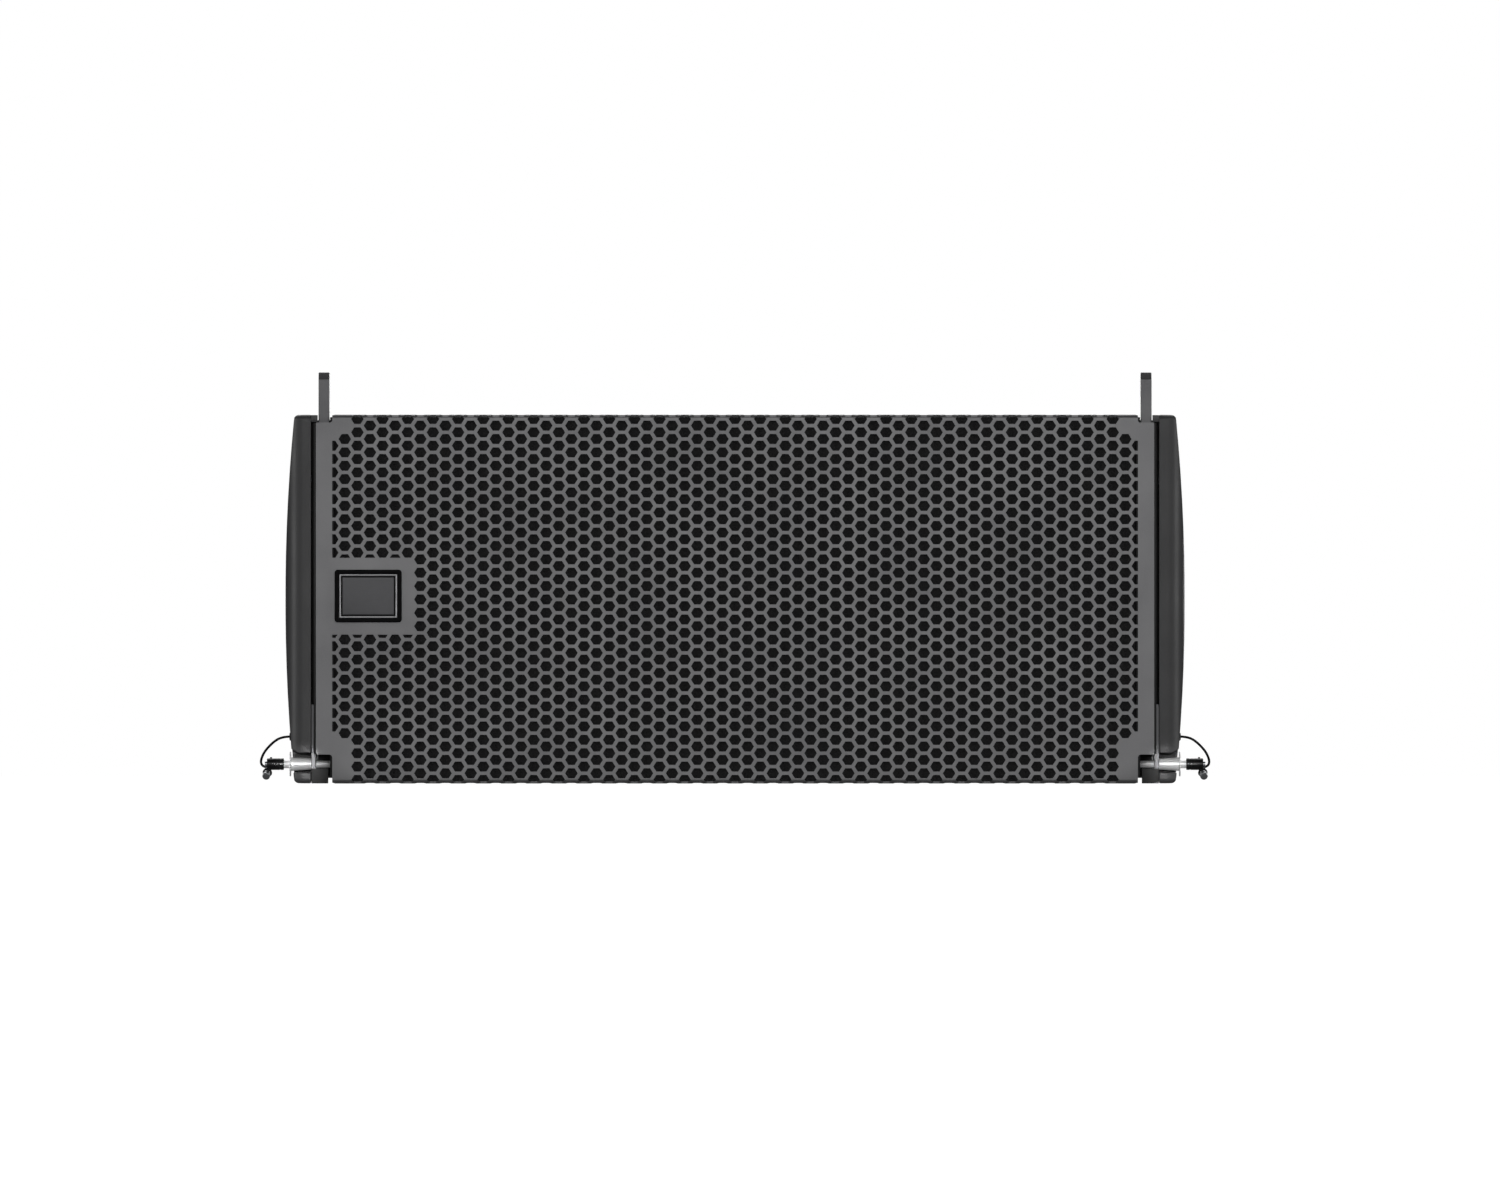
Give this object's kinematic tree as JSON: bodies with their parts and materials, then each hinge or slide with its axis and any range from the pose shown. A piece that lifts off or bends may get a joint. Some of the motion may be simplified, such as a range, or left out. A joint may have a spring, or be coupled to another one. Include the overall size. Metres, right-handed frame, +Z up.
{
  "type": "line array speaker",
  "caption": "Wedge-shaped two-way line array loudspeaker with full hexagonal grille, moulded grip end caps, sliding front links, folding rear link and quick-release pins.",
  "frame": {"origin": "middle of the bounding box's footprint, on the level of the front bottom edge", "axes": "+X across the cabinet to its right seen from the front, +Y from the grille to the rear, +Z up"},
  "size_m": [0.6954, 0.345, 0.3006],
  "materials": {
    "cabinet_timber": "textured black polyurea over birch plywood",
    "grille_steel": "dark grey powder coat, hexagonal perforation",
    "acoustic_foam": "open-cell black foam",
    "badge_plastic": "gloss black",
    "badge_plate": "dark satin, blank",
    "cast_basket": "black enamel on die-cast alloy",
    "motor_steel": "black passivated steel and ferrite",
    "cone_paper": "coated paper pulp",
    "coil_copper": "enamelled copper winding",
    "surround_rubber": "matt",
    "spider_cloth": "phenolic-dipped cloth",
    "moulded_plastic": "fine spark-eroded texture",
    "diaphragm_metal": "pressed foil dome",
    "rigging_steel": "black powder coat",
    "link_steel": "dark grey phosphate and oil",
    "glide_plastic": "self-lubricating plastic",
    "zinc_fastener": "zinc plated",
    "pin_chrome": "polished stainless steel",
    "handle_black": "black anodised",
    "button_steel": "turned stainless steel",
    "ferrule_metal": "crimped aluminium",
    "lanyard_wire": "black nylon-coated wire rope",
    "grommet_rubber": "matt black",
    "cap_plastic": "moulded dark grey polyurethane",
    "panel_steel": "black powder coat",
    "socket_plastic": "glass-filled nylon",
    "circuit_board": "green solder mask",
    "circuit_parts": "copper coils and film capacitors",
    "black_fastener": "black zinc"
  },
  "bodies": {
    "root": {"badge_bezel": "badge_plastic", "badge_plate": "badge_plate", "baffle": "cabinet_timber", "basket_left": "cast_basket", "basket_right": "cast_basket", "bottom_panel": "cabinet_timber", "compression_driver": "motor_steel", "connector_plate": "panel_steel", "crossover_board": "circuit_board", "crossover_parts": "circuit_parts", "end_cap_left": "cap_plastic", "end_cap_right": "cap_plastic", "grille": "grille_steel", "grille_foam": "acoustic_foam", "internal_braces": "cabinet_timber", "lanyard_grommets": "grommet_rubber", "lanyard_left": "lanyard_wire", "lanyard_rear": "lanyard_wire", "lanyard_right": "lanyard_wire", "link_glides": "glide_plastic", "motor_left": "motor_steel", "motor_right": "motor_steel", "panel_screws": "black_fastener", "port_tubes": "moulded_plastic", "rear_panel": "cabinet_timber", "rear_spine": "rigging_steel", "rig_channel_left": "rigging_steel", "rig_channel_right": "rigging_steel", "rigging_bolts": "black_fastener", "shoulder_bolts": "zinc_fastener", "side_wall_left": "cabinet_timber", "side_wall_right": "cabinet_timber", "speaker_sockets": "socket_plastic", "spider_left": "spider_cloth", "spider_right": "spider_cloth", "surround_left": "surround_rubber", "surround_right": "surround_rubber", "top_panel": "cabinet_timber", "waveguide": "moulded_plastic", "woofer_screws": "zinc_fastener"},
    "link_left": {"front_link_left": "link_steel"},
    "link_right": {"front_link_right": "link_steel"},
    "link_rear": {"rear_link": "link_steel"},
    "cone_body_left": {"cone_left": "cone_paper", "voice_coil_left": "coil_copper"},
    "cone_body_right": {"cone_right": "cone_paper", "voice_coil_right": "coil_copper"},
    "driver_diaphragm": {"diaphragm": "diaphragm_metal"},
    "quick_pin_left": {"pin_left": "pin_chrome", "pin_handle_left": "handle_black", "ferrule_left": "ferrule_metal"},
    "button_left": {"pin_button_left": "button_steel"},
    "quick_pin_right": {"pin_right": "pin_chrome", "pin_handle_right": "handle_black", "ferrule_right": "ferrule_metal"},
    "button_right": {"pin_button_right": "button_steel"},
    "quick_pin_rear": {"pin_rear": "pin_chrome", "pin_handle_rear": "handle_black", "ferrule_rear": "ferrule_metal"},
    "button_rear": {"pin_button_rear": "button_steel"}
  },
  "joints": [
    {"name": "link_left_slide", "type": "slide", "parent": "root", "child": "link_left", "axis": [0, 0, -1], "range_m": [0, 0.034]},
    {"name": "link_right_slide", "type": "slide", "parent": "root", "child": "link_right", "axis": [0, 0, -1], "range_m": [0, 0.034]},
    {"name": "link_rear_swing", "type": "hinge", "parent": "root", "child": "link_rear", "pos_m": [0, 0.158, 0.21404], "axis": [1, 0, 0], "range_deg": [0, 180]},
    {"name": "pin_left_pull", "type": "slide", "parent": "root", "child": "quick_pin_left", "axis": [-1, 0, 0], "range_m": [0, 0.026], "deforming": ["lanyard_left"]},
    {"name": "button_left_press", "type": "slide", "parent": "quick_pin_left", "child": "button_left", "axis": [1, 0, 0], "range_m": [0, 0.0014], "stiffness_N_per_m": 1500},
    {"name": "pin_right_pull", "type": "slide", "parent": "root", "child": "quick_pin_right", "axis": [1, 0, 0], "range_m": [0, 0.026], "deforming": ["lanyard_right"]},
    {"name": "button_right_press", "type": "slide", "parent": "quick_pin_right", "child": "button_right", "axis": [-1, 0, 0], "range_m": [0, 0.0014], "stiffness_N_per_m": 1500},
    {"name": "pin_rear_pull", "type": "slide", "parent": "root", "child": "quick_pin_rear", "axis": [1, 0, 0], "range_m": [0, 0.026], "deforming": ["lanyard_rear"]},
    {"name": "button_rear_press", "type": "slide", "parent": "quick_pin_rear", "child": "button_rear", "axis": [-1, 0, 0], "range_m": [0, 0.0014], "stiffness_N_per_m": 1500},
    {"name": "cone_left_stroke", "type": "slide", "parent": "root", "child": "cone_body_left", "axis": [0, -1, 0], "range_m": [-0.004, 0.004], "stiffness_N_per_m": 5500, "deforming": ["surround_left", "spider_left"]},
    {"name": "cone_right_stroke", "type": "slide", "parent": "root", "child": "cone_body_right", "axis": [0, -1, 0], "range_m": [-0.004, 0.004], "stiffness_N_per_m": 5500, "deforming": ["surround_right", "spider_right"]},
    {"name": "diaphragm_stroke", "type": "slide", "parent": "root", "child": "driver_diaphragm", "axis": [0, -1, 0], "range_m": [-0.0003, 0.0003], "stiffness_N_per_m": 4000}
  ]
}
